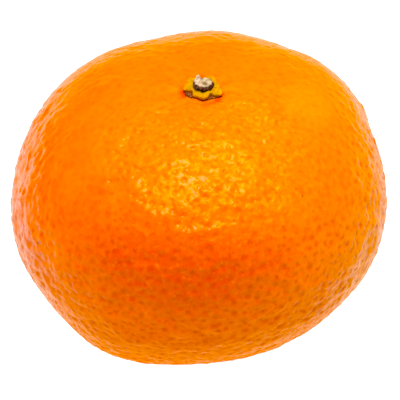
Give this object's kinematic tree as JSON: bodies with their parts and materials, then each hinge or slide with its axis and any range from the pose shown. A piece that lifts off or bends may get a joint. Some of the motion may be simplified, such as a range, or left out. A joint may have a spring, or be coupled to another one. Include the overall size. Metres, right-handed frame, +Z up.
{
  "type": "mandarin",
  "caption": "Whole unpeeled mandarin, a flattened round citrus fruit with its star-shaped calyx and a short cut stem stub, resting on its blossom end.",
  "frame": {"origin": "under the middle of the fruit, on the surface that it rests on", "axes": "+Z up, towards the stem; -Y towards the front, the side that the picture looks at from above"},
  "size_m": [0.0676, 0.068, 0.0516],
  "materials": {
    "peel": "satin",
    "calyx": "satin",
    "stem": "matte"
  },
  "bodies": {
    "root": {"fruit": "peel", "calyx": "calyx", "stem_stub": "stem"}
  },
  "joints": []
}
